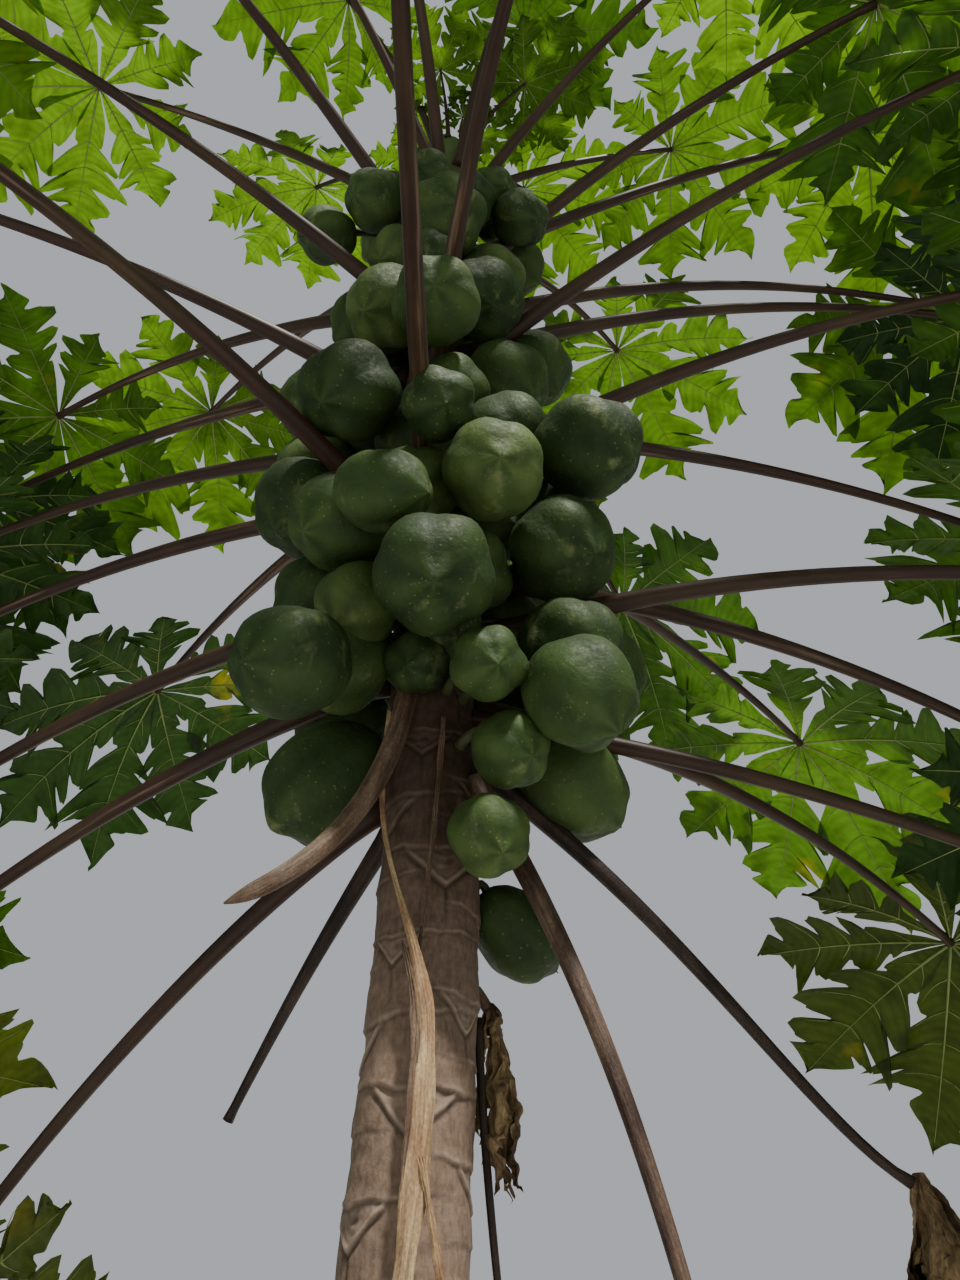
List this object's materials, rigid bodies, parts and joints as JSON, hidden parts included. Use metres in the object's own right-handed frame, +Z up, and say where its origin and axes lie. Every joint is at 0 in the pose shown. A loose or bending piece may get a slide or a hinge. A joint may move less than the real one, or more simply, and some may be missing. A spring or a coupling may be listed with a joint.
{
  "type": "papaya tree",
  "caption": "Tall fruiting papaya tree: a scarred bare stem, a dense column of green fruit and a spiral crown of long-stalked lobed leaves, with a few dry stalks.",
  "frame": {"origin": "the middle of the flat cut under the stem, at ground level", "axes": "+Z up the stem; -Y towards the side that the picture was taken from, +X to its right"},
  "size_m": [2.7496, 2.6803, 4.2606],
  "materials": {
    "bark": "matte",
    "leaf": "satin",
    "fruit": "satin",
    "dry": "matte"
  },
  "bodies": {
    "root": {"trunk": "bark", "leaf_01": "dry", "leaf_02": "dry", "leaf_03": "leaf", "leaf_04": "leaf", "leaf_05": "dry", "leaf_06": "leaf", "leaf_07": "leaf", "leaf_08": "leaf", "leaf_09": "leaf", "leaf_10": "leaf", "leaf_11": "leaf", "leaf_12": "leaf", "leaf_13": "leaf", "leaf_14": "leaf", "leaf_15": "leaf", "leaf_16": "leaf", "leaf_17": "leaf", "leaf_18": "leaf", "leaf_19": "leaf", "leaf_20": "leaf", "leaf_21": "leaf", "leaf_22": "leaf", "leaf_23": "leaf", "leaf_24": "leaf", "leaf_25": "leaf", "leaf_26": "leaf", "leaf_27": "leaf", "leaf_28": "leaf", "leaf_29": "leaf", "leaf_30": "leaf", "leaf_31": "leaf", "leaf_32": "leaf", "leaf_33": "leaf", "leaf_34": "leaf", "leaf_35": "leaf", "leaf_36": "leaf", "leaf_37": "leaf", "leaf_38": "leaf", "leaf_39": "leaf", "leaf_40": "leaf", "leaf_41": "leaf", "leaf_42": "leaf", "leaf_43": "leaf", "leaf_44": "leaf", "dry_stalk": "dry", "dry_strip": "dry", "withered_leaf": "dry", "fruit_01": "fruit", "fruit_02": "fruit", "fruit_03": "fruit", "fruit_04": "fruit", "fruit_05": "fruit", "fruit_06": "fruit", "fruit_07": "fruit", "fruit_08": "fruit", "fruit_09": "fruit", "fruit_10": "fruit", "fruit_11": "fruit", "fruit_12": "fruit"}
  },
  "joints": []
}
